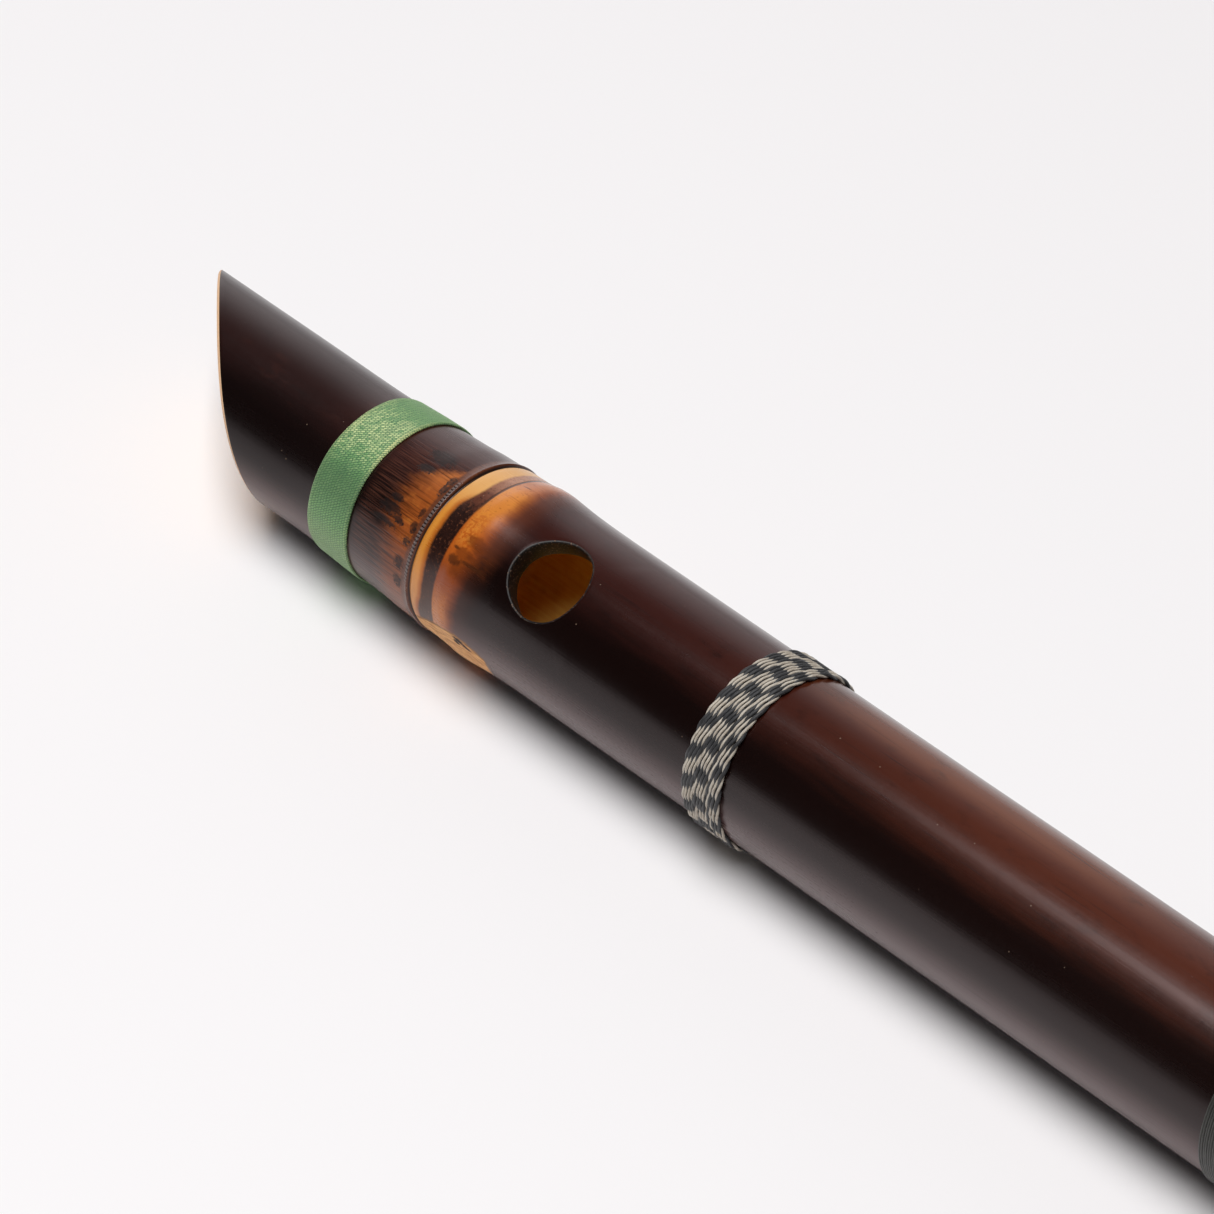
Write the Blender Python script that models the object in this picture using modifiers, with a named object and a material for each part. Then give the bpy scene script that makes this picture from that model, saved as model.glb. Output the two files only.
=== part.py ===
"""A side-blown bamboo flute, lying on a table.

+X runs along the flute from its slanted head to its foot, and +Z is up. The origin is under the
middle of the flute's length, and the cord bands rest on z = 0.

Places along the flute ("stations") are measured from the centre of the embouchure hole, towards
the foot. The embouchure and the finger holes face up and roll a little towards -Y.
"""
import math

import bpy
from mathutils import Matrix, Vector

# ---- Driving dimensions, in metres ---------------------------------------------------------------
HEAD_REACH = 0.0835            # embouchure centre to the tip of the slanted cut
FOOT_REACH = 0.430             # embouchure centre to the foot's end face
FACETS = 48                    # flat sides of every turned piece

BORE_R = 0.00935               # the air column
HEAD_HOLLOW_R = 0.0087         # the hollow of the culm above its septum
SEPTUM_THICKNESS = 0.0035      # the natural wall at the head node, which stops the bore

HEAD_R = 0.0117                # outside radius along the slanted head
WAIST_R = 0.0116               # just above the ribbon, the thinnest stretch
EMBOUCHURE_SECTION_R = 0.01245
BODY_R = 0.0123                # outside radius from the first cord band to the foot

NODE_STATIONS = (-0.0204, 0.160, 0.338)
RIDGE_RISE = 0.0006            # crest of a node above the culm's own radius

HOLE_ROLL = math.radians(29.4)           # from straight up towards -Y
EMBOUCHURE_R = 0.00605
FINGER_HOLES = (               # station, radius
    (0.182, 0.00425),
    (0.211, 0.00475),
    (0.249, 0.00475),
    (0.283, 0.0045),
    (0.320, 0.00475),
    (0.357, 0.0045),
)

CUT_SLOPE = 1.16               # how far the slanted cut runs along the flute per unit across it
CUT_ROLL = math.radians(-72.0) # the side the tip is on, about a quarter turn round from the holes

FIT_GAP = 0.0003               # between the culm and whatever is wound on it
RIBBON_WIDTH = 0.0082
RIBBON_THICKNESS = 0.0004
CORD_BAND_WIDTH = 0.0067
CORD_THICKNESS = 0.0007
THREAD_THICKNESS = 0.0004

# Each binding: name, first station, width, thickness, culm radius under it, material
BINDINGS = (
    ("head_ribbon", -0.0413, RIBBON_WIDTH, RIBBON_THICKNESS, WAIST_R, "green_ribbon"),
    ("head_cord_band", 0.0322, CORD_BAND_WIDTH, CORD_THICKNESS, 0.0122, "two_tone_cord"),
    ("upper_thread_binding", 0.1225, 0.0245, THREAD_THICKNESS, 0.0121, "black_thread"),
    ("middle_cord_band", 0.2630, CORD_BAND_WIDTH, CORD_THICKNESS, 0.0122, "two_tone_cord"),
    ("foot_thread_binding", 0.3700, 0.0160, THREAD_THICKNESS, 0.0121, "black_thread"),
    ("foot_cord_band", 0.3920, CORD_BAND_WIDTH, CORD_THICKNESS, 0.0122, "two_tone_cord"),
    ("foot_ribbon", 0.4060, RIBBON_WIDTH, RIBBON_THICKNESS, 0.0120, "green_ribbon"),
)

MATERIALS = {                  # colour, roughness
    "bamboo": ((0.045, 0.014, 0.008), 0.38),
    "green_ribbon": ((0.10, 0.34, 0.13), 0.62),
    "two_tone_cord": ((0.22, 0.20, 0.17), 0.85),
    "black_thread": ((0.018, 0.018, 0.016), 0.60),
}

# ---- Derived places ------------------------------------------------------------------------------
EMBOUCHURE_X = (HEAD_REACH - FOOT_REACH) / 2
HALF_FACET = math.pi / FACETS
CORD_BAND_R = 0.0122 + FIT_GAP + CORD_THICKNESS
AXIS_Z = CORD_BAND_R * math.cos(HALF_FACET)      # a facet of each cord band lies on z = 0


def clear_scene():
    for obj in list(bpy.data.objects):
        bpy.data.objects.remove(obj, do_unlink=True)


def new_collection(name):
    collection = bpy.data.collections.new(name)
    bpy.context.scene.collection.children.link(collection)
    return collection


def make_material(name):
    colour, roughness = MATERIALS[name]
    material = bpy.data.materials.new(name)
    material.use_nodes = True
    shader = material.node_tree.nodes["Principled BSDF"]
    shader.inputs["Base Color"].default_value = (*colour, 1.0)
    shader.inputs["Roughness"].default_value = roughness
    shader.inputs["Metallic"].default_value = 0.0
    return material


# ---- Shapes --------------------------------------------------------------------------------------
def turned(name, outline, closed, collection, material):
    """Turn an outline of (station, radius) points about the flute's axis.

    The outline runs from foot to head along its outer side, which makes the faces point out. It
    starts half a facet round, so that a flat side faces straight down.
    """
    points = []
    for station, radius in outline:
        across = radius * math.cos(HALF_FACET)
        aside = radius * math.sin(HALF_FACET)
        points.append((across, aside, EMBOUCHURE_X + station))
    edges = [(i, i + 1) for i in range(len(points) - 1)]
    if closed:
        edges.append((len(points) - 1, 0))
    mesh = bpy.data.meshes.new(name)
    mesh.from_pydata(points, edges, [])
    obj = bpy.data.objects.new(name, mesh)
    collection.objects.link(obj)
    obj.rotation_euler = (0.0, math.radians(90), 0.0)
    obj.location = (0.0, 0.0, AXIS_Z)
    screw = obj.modifiers.new("turn", "SCREW")
    screw.axis = "Z"
    screw.angle = math.tau
    screw.steps = FACETS
    screw.render_steps = FACETS
    screw.use_merge_vertices = True
    screw.merge_threshold = 0.00001
    screw.use_smooth_shade = True
    obj.data.materials.append(material)
    return obj


def body_radius(station):
    """Outside radius of the culm between its nodes and bindings."""
    if station < NODE_STATIONS[0]:
        return HEAD_R
    along = min(station / 0.045, 1.0)
    return EMBOUCHURE_SECTION_R + (BODY_R - EMBOUCHURE_SECTION_R) * max(along, 0.0)


def node_outline(station):
    """Head-to-foot outline of one bamboo node: swelling, sheath scar, groove, then the crest."""
    radius = max(body_radius(station), body_radius(station + 0.02))
    return [
        (station - 0.0090, radius - 0.0003),
        (station - 0.0045, radius + 0.0001),
        (station - 0.0005, radius + 0.0003),
        (station + 0.0001, radius - 0.0001),
        (station + 0.0007, radius + 0.0002),
        (station + 0.0035, radius + 0.0002),
        (station + 0.0068, radius + RIDGE_RISE),
        (station + 0.0100, radius + 0.0003),
        (station + 0.0150, radius),
    ]


def seat_outline(start, width, seat_radius):
    """Head-to-foot outline of the straight seat under a binding, with its culm on either side."""
    margin = 0.0004
    slope = 0.0002
    before = max(body_radius(start), seat_radius)
    after = max(body_radius(start + width), seat_radius)
    return [
        (start - margin - slope, before),
        (start - margin, seat_radius),
        (start + width + margin, seat_radius),
        (start + width + margin + slope, after),
    ]


def culm_outline():
    """Half section of the whole culm, from the bore's closed end round to the head hollow's."""
    septum_foot_side = NODE_STATIONS[0] + SEPTUM_THICKNESS / 2
    septum_head_side = NODE_STATIONS[0] - SEPTUM_THICKNESS / 2
    spare = 0.004              # past the head's tip, where the slanted cut takes it off
    rim = 0.0005
    outer = [(-HEAD_REACH - spare, HEAD_R), (-0.050, WAIST_R)]
    for station in NODE_STATIONS:
        outer += node_outline(station)
    for _, start, width, _, seat_radius, _ in BINDINGS:
        outer += seat_outline(start, width, seat_radius)
    outer.append((FOOT_REACH - rim, BODY_R))
    outer.append((FOOT_REACH, BODY_R - rim))
    outer.sort()
    bore = [
        (septum_foot_side, 0.0),
        (septum_foot_side, BORE_R - 0.0015),
        (septum_foot_side + 0.0015, BORE_R),
        (FOOT_REACH, BORE_R),
    ]
    head_hollow = [
        (-HEAD_REACH - spare, HEAD_HOLLOW_R),
        (septum_head_side - 0.0015, HEAD_HOLLOW_R),
        (septum_head_side, HEAD_HOLLOW_R - 0.0015),
        (septum_head_side, 0.0),
    ]
    return bore + outer[::-1] + head_hollow


def hole_cutter(name, station, radius, collection):
    """A drill through one side of the wall, square to the axis and rolled towards -Y."""
    depth = 0.012
    outward = Vector((0.0, -math.sin(HOLE_ROLL), math.cos(HOLE_ROLL)))
    axis_point = Vector((EMBOUCHURE_X + station, 0.0, AXIS_Z))
    bpy.ops.mesh.primitive_cylinder_add(
        vertices=32, radius=radius, depth=depth,
        location=axis_point + outward * BODY_R, rotation=(HOLE_ROLL, 0.0, 0.0))
    return as_cutter(name, collection)


def head_cutter(collection):
    """A block whose one face is the plane of the slanted cut."""
    size = 0.08
    tip_overhang = CUT_SLOPE * HEAD_R
    turn = Matrix.Rotation(CUT_ROLL, 3, "X") @ Matrix.Rotation(-math.atan(CUT_SLOPE), 3, "Y")
    middle = Vector((EMBOUCHURE_X - HEAD_REACH + tip_overhang, 0.0, AXIS_Z))
    into_culm = turn @ Vector((1.0, 0.0, 0.0))
    bpy.ops.mesh.primitive_cube_add(
        size=size, location=middle - into_culm * size / 2, rotation=turn.to_euler())
    return as_cutter("slanted_cut", collection)


def as_cutter(name, collection):
    obj = bpy.context.active_object
    obj.name = name
    for old in list(obj.users_collection):
        old.objects.unlink(obj)
    collection.objects.link(obj)
    obj.hide_render = True
    obj.display_type = "WIRE"
    return obj


def cut(obj, cutter):
    boolean = obj.modifiers.new(cutter.name, "BOOLEAN")
    boolean.operation = "DIFFERENCE"
    boolean.solver = "EXACT"
    boolean.object = cutter


def keep_edges_sharp(obj):
    """Apply the modifiers, and shade the result smooth between its sharp edges."""
    depsgraph = bpy.context.evaluated_depsgraph_get()
    mesh = bpy.data.meshes.new_from_object(obj.evaluated_get(depsgraph))
    obj.modifiers.clear()
    obj.data = mesh
    mesh.shade_smooth()
    mesh.set_sharp_from_angle(angle=math.radians(35))


# ---- The flute -----------------------------------------------------------------------------------
def build_culm(flute, cutters, material):
    culm = turned("bamboo_culm", culm_outline(), False, flute, material)
    cut(culm, head_cutter(cutters))
    cut(culm, hole_cutter("embouchure_drill", 0.0, EMBOUCHURE_R, cutters))
    for number, (station, radius) in enumerate(FINGER_HOLES, start=1):
        cut(culm, hole_cutter(f"finger_hole_drill_{number}", station, radius, cutters))
    keep_edges_sharp(culm)


def build_binding(name, start, width, thickness, seat_radius, flute, material):
    """A ring with softened outer edges, standing a fitting gap clear of its seat."""
    inner = seat_radius + FIT_GAP
    outer = inner + thickness
    soften = thickness / 3
    end = start + width
    outline = [
        (end, inner),
        (end, outer - soften),
        (end - soften, outer),
        (start + soften, outer),
        (start, outer - soften),
        (start, inner),
    ]
    ring = turned(name, outline, True, flute, material)
    keep_edges_sharp(ring)


def main():
    clear_scene()
    flute = new_collection("bamboo_flute")
    cutters = new_collection("cutters")
    materials = {name: make_material(name) for name in MATERIALS}
    build_culm(flute, cutters, materials["bamboo"])
    for name, start, width, thickness, seat_radius, material in BINDINGS:
        build_binding(name, start, width, thickness, seat_radius, flute, materials[material])


main()
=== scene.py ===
"""Looks of a scorched bamboo flute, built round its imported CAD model.

Lengths in this script are millimetres until they go into a mesh or a light. A place on the flute
is given by its station, measured from the centre of the embouchure hole towards the foot, and by
its turn, the angle in degrees from straight up towards -Y.
"""
import math

import bpy
import numpy as np
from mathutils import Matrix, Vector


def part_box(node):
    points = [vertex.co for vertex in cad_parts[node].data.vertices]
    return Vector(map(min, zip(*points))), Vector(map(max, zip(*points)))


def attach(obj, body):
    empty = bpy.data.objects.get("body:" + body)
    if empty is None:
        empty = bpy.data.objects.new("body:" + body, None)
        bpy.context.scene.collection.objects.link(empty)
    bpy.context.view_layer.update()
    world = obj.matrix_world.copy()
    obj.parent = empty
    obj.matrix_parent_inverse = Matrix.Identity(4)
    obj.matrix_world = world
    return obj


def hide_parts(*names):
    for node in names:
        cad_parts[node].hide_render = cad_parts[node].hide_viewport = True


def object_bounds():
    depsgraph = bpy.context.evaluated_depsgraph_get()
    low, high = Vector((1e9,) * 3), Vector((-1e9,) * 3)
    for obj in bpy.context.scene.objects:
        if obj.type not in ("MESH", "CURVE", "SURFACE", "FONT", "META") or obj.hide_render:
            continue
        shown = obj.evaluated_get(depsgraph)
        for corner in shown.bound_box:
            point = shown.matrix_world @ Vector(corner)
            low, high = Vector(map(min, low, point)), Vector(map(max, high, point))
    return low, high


MM = 0.001  # metres

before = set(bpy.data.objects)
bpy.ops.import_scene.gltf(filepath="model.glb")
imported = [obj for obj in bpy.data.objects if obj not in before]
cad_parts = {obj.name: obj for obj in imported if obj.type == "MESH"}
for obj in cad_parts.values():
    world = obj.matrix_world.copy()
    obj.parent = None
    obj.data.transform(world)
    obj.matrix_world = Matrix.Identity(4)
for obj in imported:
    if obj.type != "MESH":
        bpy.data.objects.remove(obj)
cad_low, cad_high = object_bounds()

# ---- Places taken from the CAD model ----
FOOT = 430.0  # station of the foot's end face
EMBOUCHURE_X = cad_high.x - FOOT * MM
band_low, band_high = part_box("head_cord_band")
AXIS_Z = (band_low.z + band_high.z) / 2

HOLE_TURN = 29.4
EMBOUCHURE_R = 6.05
FINGER_HOLES = (  # station, radius
    (182.0, 4.25), (211.0, 4.75), (249.0, 4.75), (283.0, 4.5), (320.0, 4.75), (357.0, 4.5),
)
NODES = (-20.4, 160.0, 338.0)  # stations of the nodes' grooves
NODE_CHANGES = (70.0, 249.0)  # where the next node takes over from the last
BORE_R = 9.35
HOLLOW_R = 8.7  # above the septum
SEPTUM_HALF = 1.75  # half its thickness


# ---- Numeric helpers ----
def smooth_curve(x, stations, values):
    """A curve through the points given, with no overshoot between them."""
    xp = np.asarray(stations, float)
    fp = np.asarray(values, float)
    gaps = np.diff(xp)
    slopes = np.diff(fp) / gaps
    tangents = np.zeros_like(fp)
    same_way = slopes[:-1] * slopes[1:] > 0
    harmonic = 2 * slopes[:-1] * slopes[1:] / np.where(same_way, slopes[:-1] + slopes[1:], 1.0)
    tangents[1:-1] = np.where(same_way, harmonic, 0.0)
    x = np.clip(x, xp[0], xp[-1])
    k = np.clip(np.searchsorted(xp, x, side="right") - 1, 0, len(gaps) - 1)
    t = (x - xp[k]) / gaps[k]
    h00 = 2 * t**3 - 3 * t**2 + 1
    h10 = t**3 - 2 * t**2 + t
    h01 = -2 * t**3 + 3 * t**2
    h11 = t**3 - t**2
    return h00 * fp[k] + h10 * gaps[k] * tangents[k] + h01 * fp[k + 1] + h11 * gaps[k] * tangents[k + 1]


def smoothstep(low, high, x):
    t = np.clip((x - low) / (high - low), 0.0, 1.0)
    return t * t * (3 - 2 * t)


def on_flute(station, radius, turn):
    """World position in metres."""
    angle = np.radians(turn)
    station, radius, angle = np.broadcast_arrays(station, radius, angle)
    return np.stack([
        EMBOUCHURE_X + station * MM,
        -radius * np.sin(angle) * MM,
        AXIS_Z + radius * np.cos(angle) * MM,
    ], axis=-1)


def ring_quads(first, second):
    """Quads between two closed rings of equal length."""
    return np.stack([first, np.roll(first, -1), np.roll(second, -1), second], axis=-1)


def add_object(name, data):
    made = bpy.data.objects.new(name, data)
    bpy.context.scene.collection.objects.link(made)
    return made


class Sheet:
    """Vertices and faces of one mesh."""

    def __init__(self):
        self.points = []
        self.faces = []
        self.kinds = []
        self.count = 0

    def add(self, points):
        """Adds points, and gives their numbers in an array of the same shape."""
        points = np.asarray(points, float)
        flat = points.reshape(-1, 3)
        index = np.arange(self.count, self.count + len(flat)).reshape(points.shape[:-1])
        self.points.append(flat)
        self.count += len(flat)
        return index

    def tube(self, loops, kind):
        """Quads along a row of closed loops, and a cap on each end."""
        a, b = loops[:-1], loops[1:]
        self.quads(np.stack([a, b, np.roll(b, -1, axis=1), np.roll(a, -1, axis=1)], axis=-1), kind)
        self.quads(loops[0][None, :], kind)
        self.quads(loops[-1][::-1][None, :], kind)

    def quads(self, quads, kind):
        quads = quads.reshape(-1, quads.shape[-1])
        self.faces.append(quads)
        self.kinds.append(np.full(len(quads), kind))

    def fan(self, ring, centre, kind):
        self.quads(np.stack([ring, np.roll(ring, -1), np.full_like(ring, centre)], axis=-1), kind)

    def build(self, name, materials):
        """One smooth mesh, without the points that no face uses."""
        points = np.concatenate(self.points)
        used = np.zeros(len(points), bool)
        for group in self.faces:
            used[group.ravel()] = True
        renumber = np.cumsum(used) - 1
        faces = [face for group in self.faces for face in renumber[group].tolist()]
        mesh = bpy.data.meshes.new(name)
        mesh.from_pydata(points[used].tolist(), [], faces)
        mesh.polygons.foreach_set("material_index", np.concatenate(self.kinds).astype(np.int32))
        mesh.polygons.foreach_set("use_smooth", np.ones(len(faces), bool))
        mesh.update()
        for material in materials:
            mesh.materials.append(material)
        return add_object(name, mesh)


# ---- Node graphs ----
class Value:
    """One number in a node graph, which ordinary arithmetic adds nodes to."""

    def __init__(self, graph, socket):
        self.graph = graph
        self.socket = socket

    def __add__(self, other):
        return self.graph.math("ADD", self, other)

    __radd__ = __add__

    def __sub__(self, other):
        return self.graph.math("SUBTRACT", self, other)

    def __rsub__(self, other):
        return self.graph.math("SUBTRACT", other, self)

    def __mul__(self, other):
        return self.graph.math("MULTIPLY", self, other)

    __rmul__ = __mul__

    def __truediv__(self, other):
        return self.graph.math("DIVIDE", self, other)

    def __neg__(self):
        return self * -1.0


class Graph:
    """Builds the nodes of a material or of the world."""

    def __init__(self, tree):
        self.tree = tree
        self.shader = None

    def node(self, kind, **settings):
        made = self.tree.nodes.new(kind)
        for key, value in settings.items():
            setattr(made, key, value)
        return made

    def put(self, socket, value):
        if isinstance(value, Value):
            self.tree.links.new(value.socket, socket)
        elif isinstance(value, bpy.types.NodeSocket):
            self.tree.links.new(value, socket)
        elif isinstance(value, (tuple, list)) and len(value) == 3 and socket.type == "RGBA":
            socket.default_value = (*value, 1.0)
        else:
            socket.default_value = value

    def math(self, operation, a, b=None):
        made = self.node("ShaderNodeMath", operation=operation)
        for socket, value in zip(made.inputs, (a, b)):
            if value is not None:
                self.put(socket, value)
        return Value(self, made.outputs[0])

    def ramp(self, x, low, high, start=0.0, end=1.0):
        """Runs smoothly from start at low to end at high, and is flat outside."""
        made = self.node("ShaderNodeMapRange", interpolation_type="SMOOTHSTEP")
        for name, value in (("Value", x), ("From Min", low), ("From Max", high),
                            ("To Min", start), ("To Max", end)):
            self.put(made.inputs[name], value)
        return Value(self, made.outputs["Result"])

    def fall(self, x, low, high):
        """1 below low, 0 above high."""
        return self.ramp(x, low, high, 1.0, 0.0)

    def window(self, x, rise_low, rise_high, fall_low, fall_high):
        """0, then 1 from rise_high to fall_low, then 0 again."""
        return self.ramp(x, rise_low, rise_high) * self.fall(x, fall_low, fall_high)

    def largest(self, a, b):
        return self.math("MAXIMUM", a, b)

    def spots(self, along, round_, ragged, places):
        """1 inside any of the ellipses given by centre and half sizes, with ragged edges."""
        total = None
        for centre_along, centre_round, half_along, half_round in places:
            u = (along - centre_along) * (1.0 / half_along)
            v = (round_ - centre_round) * (1.0 / half_round)
            spot = self.fall(u * u + v * v + ragged, 0.25, 1.25)
            total = spot if total is None else self.largest(total, spot)
        return total

    def vector(self, x, y, z):
        made = self.node("ShaderNodeCombineXYZ")
        for socket, value in zip(made.inputs, (x, y, z)):
            self.put(socket, value)
        return made.outputs[0]

    def split(self, vector):
        made = self.node("ShaderNodeSeparateXYZ")
        self.put(made.inputs[0], vector)
        return [Value(self, socket) for socket in made.outputs]

    def noise(self, vector, detail=2.0, roughness=0.5):
        """Even noise about zero, between roughly -1 and 1."""
        made = self.node("ShaderNodeTexNoise", noise_dimensions="3D")
        self.put(made.inputs["Vector"], vector)
        self.put(made.inputs["Scale"], 1.0)
        self.put(made.inputs["Detail"], detail)
        self.put(made.inputs["Roughness"], roughness)
        return (Value(self, made.outputs[0]) - 0.5) * 2.6

    def mix(self, first, second, factor):
        """From the first colour at 0 to the second at 1."""
        made = self.node("ShaderNodeMix", data_type="RGBA")
        self.put(made.inputs["Factor"], factor)
        self.put(made.inputs[6], first)
        self.put(made.inputs[7], second)
        return made.outputs[2]

    def cells(self, vector, scale):
        """Distance to the nearest of many scattered points."""
        made = self.node("ShaderNodeTexVoronoi", voronoi_dimensions="3D", feature="F1")
        self.put(made.inputs["Vector"], vector)
        self.put(made.inputs["Scale"], scale)
        return Value(self, made.outputs["Distance"])

    def shade(self, colour, roughness, height):
        """Sets the material's colour, its roughness and its relief in millimetres."""
        bump = self.node("ShaderNodeBump")
        self.put(bump.inputs["Strength"], 1.0)
        self.put(bump.inputs["Distance"], MM)
        self.put(bump.inputs["Height"], height)
        self.put(self.shader.inputs["Base Color"], colour)
        self.put(self.shader.inputs["Roughness"], roughness)
        self.put(self.shader.inputs["Normal"], bump.outputs[0])

    def flute_place(self):
        """Works out where on the flute a point is, and gives its station and turn."""
        x, y, z = self.split(self.node("ShaderNodeTexCoord").outputs["Object"])
        self.station = (x - EMBOUCHURE_X) * (1 / MM)
        self.across = y * (1 / MM)
        self.up = (z - AXIS_Z) * (1 / MM)
        turn = self.math("ARCTAN2", -self.across, self.up) * math.degrees(1.0)
        return self.station, turn

    def flute_noise(self, along, round_, detail=2.0, roughness=0.5, shift=0.0):
        """Noise with these frequencies, per millimetre, along the flute and round it."""
        place = self.vector(self.station * along + shift, self.across * round_, self.up * round_)
        return self.noise(place, detail, roughness)


def new_material(name, **constants):
    """A Principled material and its graph. The constants go on the shader's sockets."""
    material = bpy.data.materials.new(name)
    material.use_nodes = True
    graph = Graph(material.node_tree)
    graph.shader = material.node_tree.nodes["Principled BSDF"]
    for key, value in constants.items():
        graph.put(graph.shader.inputs[key.replace("_", " ")], value)
    return material, graph


# ---- Camera, floor and light ----
CAMERA_AZIMUTH = 47.04  # degrees, as is the elevation
CAMERA_ELEVATION = 39.74
CAMERA_LENS = 207.58
CAMERA_PLACE = (519.0, -479.0, 589.7)  # from the embouchure's station on the flute's axis
FLOOR_HALF = 14.0  # metres
SOFT_BOX_PLACE = (41.0, -357.0, 1700.0)  # from the same point as the camera's place
SOFT_BOX_SIZE = (0.816, 1.683)  # metres
SOFT_BOX_RADIANCE = 7.75
BACKDROP_RADIANCE = 1.1
ROOM_RADIANCE = 0.055


def from_embouchure(place):
    dx, dy, dz = place
    return EMBOUCHURE_X + dx * MM, dy * MM, AXIS_Z + dz * MM


def add_camera():
    data = bpy.data.cameras.new("camera")
    data.sensor_width = 36.0
    data.lens = CAMERA_LENS
    data.clip_end = 50.0
    camera = add_object("camera", data)
    camera.location = from_embouchure(CAMERA_PLACE)
    camera.rotation_euler = (math.radians(90 - CAMERA_ELEVATION), 0.0, math.radians(CAMERA_AZIMUTH))
    bpy.context.scene.camera = camera


def add_floor():
    material, graph = new_material("pale_floor", Roughness=0.9, Specular_IOR_Level=0.0)
    x, y, z = graph.split(graph.node("ShaderNodeTexCoord").outputs["Object"])
    grain = graph.noise(graph.vector(x * 3.0, y * 3.0, z))
    colour = graph.mix((0.925, 0.905, 0.912), (0.935, 0.915, 0.922), grain * 0.5 + 0.5)
    graph.put(graph.shader.inputs["Base Color"], colour)
    sheet = Sheet()
    rows = np.linspace(-FLOOR_HALF, FLOOR_HALF, 9)
    x, y = np.meshgrid(rows, rows, indexing="ij")
    index = sheet.add(np.stack([x, y, np.zeros_like(x)], axis=-1))
    sheet.quads(np.stack([index[:-1, :-1], index[1:, :-1], index[1:, 1:], index[:-1, 1:]], axis=-1), 0)
    floor = sheet.build("floor", [material])


def add_soft_box():
    """A soft box over the flute, facing down, with its long side along the camera's view."""
    width, depth = SOFT_BOX_SIZE
    data = bpy.data.lights.new("soft_box", "AREA")
    data.shape = "RECTANGLE"
    data.size = width
    data.size_y = depth
    data.energy = SOFT_BOX_RADIANCE * math.pi * width * depth
    light = add_object("soft_box", data)
    light.location = from_embouchure(SOFT_BOX_PLACE)
    light.rotation_euler = (0.0, 0.0, math.radians(CAMERA_AZIMUTH))


def add_studio():
    """A dim room with a pale backdrop that the flute reflects, seen by the camera as plain pale."""
    world = bpy.data.worlds.new("studio")
    bpy.context.scene.world = world
    world.use_nodes = True
    graph = Graph(world.node_tree)
    background = world.node_tree.nodes["Background"]
    output = world.node_tree.nodes["World Output"]
    x, y, z = graph.split(graph.node("ShaderNodeTexCoord").outputs["Generated"])
    backdrop = graph.ramp(-x, 0.3, 0.7) * graph.ramp(y, 0.0, 0.5) * graph.fall(z, 0.36, 0.84)
    graph.put(background.inputs["Color"], (1.0, 0.975, 0.985))
    graph.put(background.inputs["Strength"], backdrop * BACKDROP_RADIANCE + ROOM_RADIANCE)
    seen = graph.node("ShaderNodeBackground")
    graph.put(seen.inputs["Color"], (0.94, 0.93, 0.935))
    graph.put(seen.inputs["Strength"], 1.0)
    mixer = graph.node("ShaderNodeMixShader")
    graph.put(mixer.inputs[0], graph.node("ShaderNodeLightPath").outputs["Is Camera Ray"])
    graph.put(mixer.inputs[1], background.outputs[0])
    graph.put(mixer.inputs[2], seen.outputs[0])
    graph.put(output.inputs["Surface"], mixer.outputs[0])
    bpy.context.scene.view_settings.view_transform = "Standard"
    bpy.context.scene.view_settings.look = "None"


# ---- Bamboo shapes ----
COLUMNS = 144
COLUMN_STEP = 360.0 / COLUMNS
TURNS = HOLE_TURN + COLUMN_STEP * np.arange(COLUMNS)  # of the points in every ring

HEAD_R = 11.7
CULM_RADII = (  # station, radius without the nodes
    (-90.0, HEAD_R), (-62.0, 11.66), (-48.0, 11.58), (-42.0, 11.66), (-37.0, 11.86), (-31.0, 12.05),
    (-24.0, 12.28), (-18.0, 12.4), (0.0, 12.45), (22.0, 12.4), (46.0, 12.3), (430.0, 12.28),
)
NODE_SHAPE = (  # distance past the groove, rise above the culm
    (-14.0, 0.0), (-7.6, 0.04), (-4.6, 0.16), (-1.6, 0.17), (-0.75, 0.27), (-0.4, 0.37),
    (-0.22, 0.3), (-0.05, -0.04), (0.12, -0.06), (0.34, 0.12), (0.9, 0.19), (2.9, 0.2),
    (5.2, 0.36), (6.5, 0.56), (7.5, 0.57), (9.4, 0.42), (12.4, 0.19), (16.0, 0.06), (21.0, 0.0),
)
CREST_PAST = 6.5  # the crest's top, past the groove
SCAR_TURN = 115.0  # where the sheath's bud was trimmed off
SCAR_PAST = 7.5  # the trimmed flat's middle, past the groove
SCAR_HEIGHT = 12.42  # the flat's distance from the axis
CUT_MIDDLE = -69.0  # station of the slanted cut on the axis
CUT_ASIDE = 13.55  # how much nearer the foot it is on the -Y side
CUT_UP = 5.9  # how much farther from the foot it is on top
CUT_SCOOP = 1.4  # how much it is bent
FIRST_ROW = -50.0  # where the rings leave the cut's slant behind
HOLE_EDGE = 0.3  # rounding of a hole's edge outside
HOLE_FOOT = 0.25  # and of its edge in the bore
HOLE_TIGHTER = 0.25  # how much smaller than the drill the varnished holes look


def nearest_node(station):
    """Distance past the groove of the node in charge here, and that node's number."""
    number = np.searchsorted(NODE_CHANGES, station, side="right")
    return station - np.asarray(NODES)[number], number


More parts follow.
